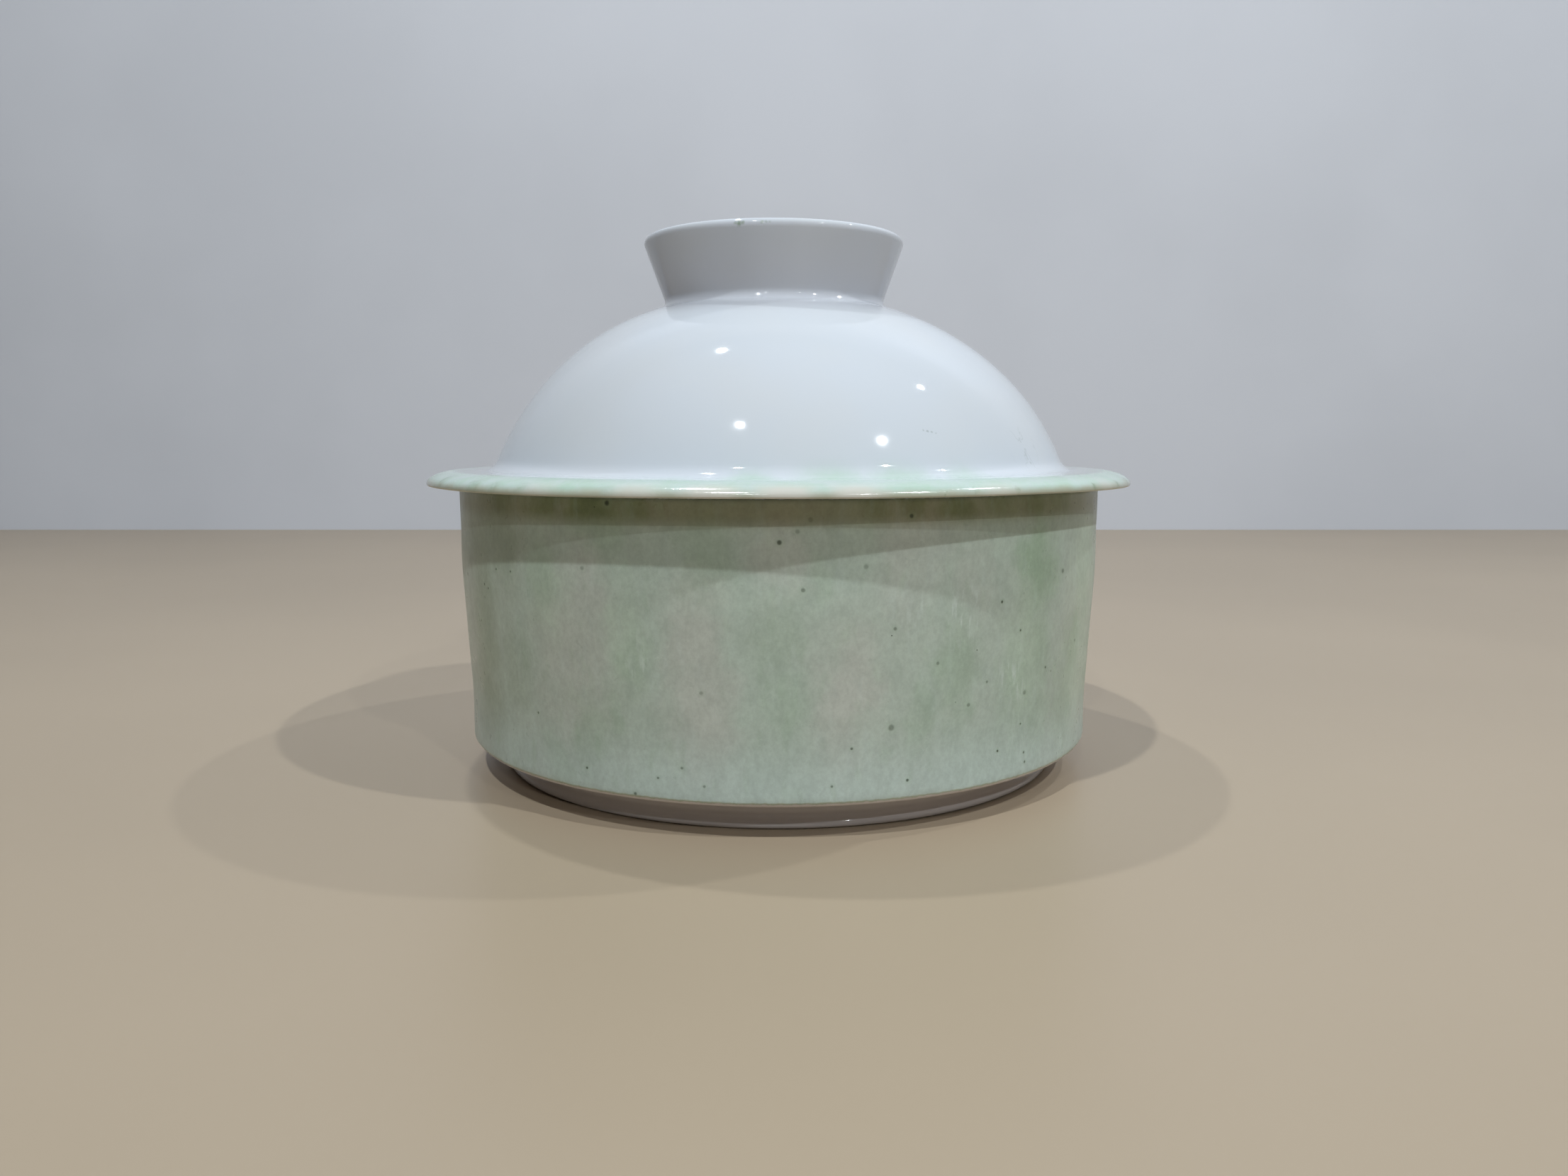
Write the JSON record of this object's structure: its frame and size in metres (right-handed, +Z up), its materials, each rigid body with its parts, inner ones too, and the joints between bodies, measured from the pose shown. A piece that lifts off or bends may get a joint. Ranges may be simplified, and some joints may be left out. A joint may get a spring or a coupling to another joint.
{
  "type": "covered rice bowl",
  "caption": "Straight-sided green-glazed porcelain bowl on a foot ring, with a white domed lid that has a wide flange and a flared ring grip and lifts off.",
  "frame": {"origin": "on the common axis of bowl and lid, in the plane that the foot ring stands on", "axes": "+Z up along the common axis, the way the lid lifts off; both pieces are round, so X and Y are free"},
  "size_m": [0.2, 0.2, 0.1486],
  "materials": {
    "green_glaze": null,
    "white_glaze": null
  },
  "bodies": {
    "bowl": {"bowl": "green_glaze"},
    "lid": {"lid": "white_glaze"}
  },
  "joints": [
    {"name": "lid_lift", "type": "slide", "parent": "bowl", "child": "lid", "axis": [0, 0, 1], "range_m": [0, 0.1]}
  ]
}
